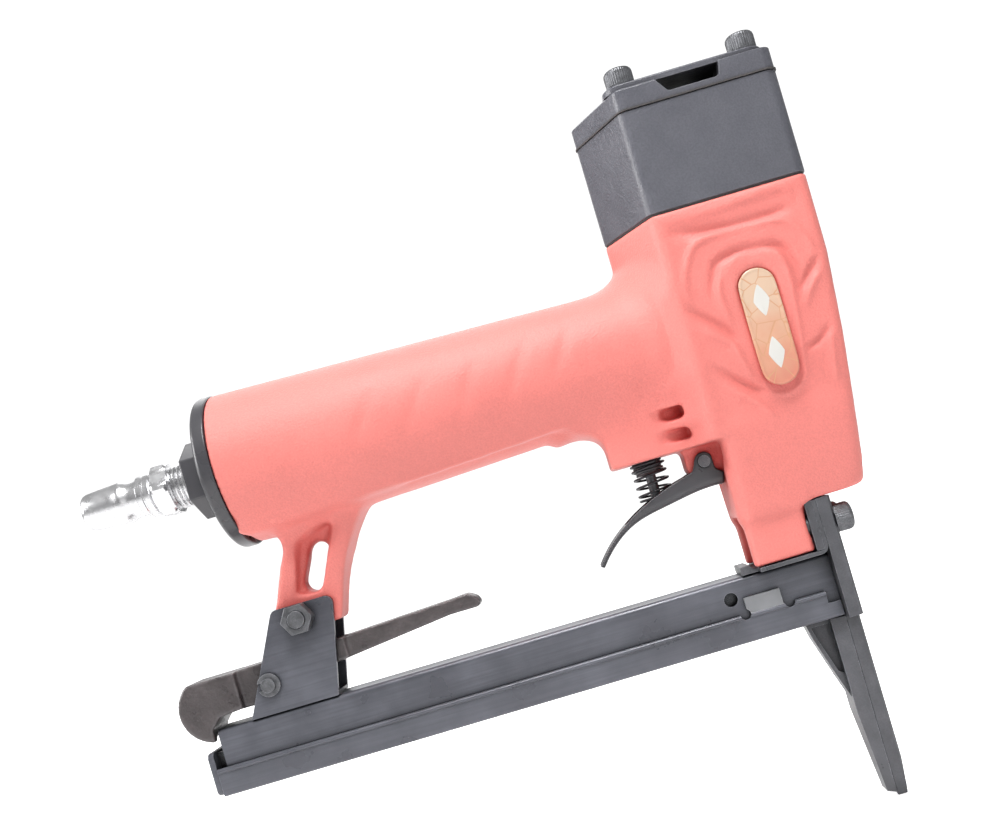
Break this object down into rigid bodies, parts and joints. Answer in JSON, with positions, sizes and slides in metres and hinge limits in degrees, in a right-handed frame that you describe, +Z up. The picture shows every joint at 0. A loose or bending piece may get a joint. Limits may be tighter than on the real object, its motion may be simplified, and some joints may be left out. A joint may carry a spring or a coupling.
{
  "type": "pneumatic brad nailer",
  "caption": "Hand-held pneumatic fastening tool with a red cast body, black head cap, air plug, trigger, slide-back magazine with latch lever and a long slim nose.",
  "frame": {"origin": "centre of the fastener exit at the nose tip", "axes": "+X forward from the air plug towards the nose's front face, +Y lateral, +Z up along the drive axis, away from the work"},
  "size_m": [0.2187, 0.0446, 0.2132],
  "materials": {
    "red_powder_coat": "fine-textured satin powder coat",
    "black_cast": "sandy black textured paint on a casting",
    "satin_black": "satin black coating",
    "gasket": "matte fibre gasket",
    "black_oxide": "black oxide",
    "sleeve_aluminium": "hard anodised",
    "piston_aluminium": "machined",
    "seal_rubber": "matte nitrile",
    "bumper_rubber": "matte polyurethane",
    "driver_steel": "ground",
    "valve_polymer": "natural acetal",
    "valve_brass": "blackened",
    "spring_steel": "drawn wire",
    "black_spring": "blackened drawn wire",
    "nickel": "bright nickel plate",
    "nose_steel": "charcoal phosphate",
    "blued_sheet": "blued sheet steel",
    "rail_steel": "zinc plated",
    "latch_cast": "dark brown-black coated casting",
    "badge_enamel": "cream and orange crackle enamel"
  },
  "bodies": {
    "tool_body": {"air_plug": "nickel", "badges": "badge_enamel", "body_casting": "red_powder_coat", "bracket_bolt": "black_oxide", "bracket_nut": "black_oxide", "bracket_rivets": "black_oxide", "bumper": "bumper_rubber", "cap_screws": "black_oxide", "cover_gasket": "gasket", "cylinder_sleeve": "sleeve_aluminium", "drive_guide_plate": "nose_steel", "end_cap_o_ring": "seal_rubber", "exhaust_cover": "black_cast", "fixed_magazine": "blued_sheet", "front_bar": "nose_steel", "handle_end_cap": "satin_black", "head_cap": "black_cast", "head_gasket": "gasket", "head_valve_spring": "spring_steel", "latch_clips": "black_oxide", "latch_pin": "black_oxide", "latch_spring": "spring_steel", "long_nose_front": "nose_steel", "long_nose_rear": "nose_steel", "nose_bracket": "nose_steel", "nose_screws": "black_oxide", "rear_bracket": "blued_sheet", "sleeve_o_rings": "seal_rubber", "top_plate": "black_cast", "trigger_pin": "black_oxide", "trigger_spring": "black_spring", "valve_body": "valve_brass", "valve_o_rings": "seal_rubber"},
    "drive": {"piston": "piston_aluminium", "piston_o_ring": "seal_rubber", "driver_blade": "driver_steel"},
    "head_valve": {"head_valve": "valve_polymer", "head_valve_o_ring": "seal_rubber"},
    "trigger": {"trigger": "satin_black"},
    "valve_stem": {"valve_stem": "black_oxide"},
    "latch_lever": {"latch_lever": "latch_cast"},
    "magazine_slide": {"moving_magazine": "blued_sheet", "magazine_end_plate": "blued_sheet", "staple_rail": "rail_steel", "pusher_rod": "driver_steel", "pusher_spring": "spring_steel"},
    "pusher": {"pusher": "rail_steel"}
  },
  "joints": [
    {"name": "trigger_pull", "type": "hinge", "parent": "tool_body", "child": "trigger", "pos_m": [-0.0264, 0, 0.1052], "axis": [0, 1, 0], "range_deg": [0, 9], "stiffness_Nm_per_rad": 0.6, "springref_deg": -5.73, "deforming": ["trigger_spring"]},
    {"name": "valve_stem_lift", "type": "slide", "parent": "tool_body", "child": "valve_stem", "axis": [0, 0, 1], "range_m": [0, 0.0025]},
    {"name": "driver_stroke", "type": "slide", "parent": "tool_body", "child": "drive", "axis": [0, 0, -1], "range_m": [0, 0.0715]},
    {"name": "head_valve_lift", "type": "slide", "parent": "tool_body", "child": "head_valve", "axis": [0, 0, 1], "range_m": [0, 0.003], "stiffness_N_per_m": 1500, "springref_m": -0.002, "deforming": ["head_valve_spring"]},
    {"name": "latch_pivot", "type": "hinge", "parent": "tool_body", "child": "latch_lever", "pos_m": [-0.1607, 0, 0.0795], "axis": [0, 1, 0], "range_deg": [0, 8], "stiffness_Nm_per_rad": 0.5, "springref_deg": -8.59, "deforming": ["latch_spring"]},
    {"name": "magazine_slide", "type": "slide", "parent": "tool_body", "child": "magazine_slide", "axis": [-1, 0, 0], "range_m": [0, 0.11]},
    {"name": "pusher_travel", "type": "slide", "parent": "magazine_slide", "child": "pusher", "axis": [-1, 0, 0], "range_m": [0, 0.105], "stiffness_N_per_m": 60, "springref_m": -0.03, "deforming": ["pusher_spring"]}
  ],
  "couplings": [
    {"joint": "valve_stem_lift", "follows": "trigger_pull", "m_per_rad": 0.0151}
  ]
}
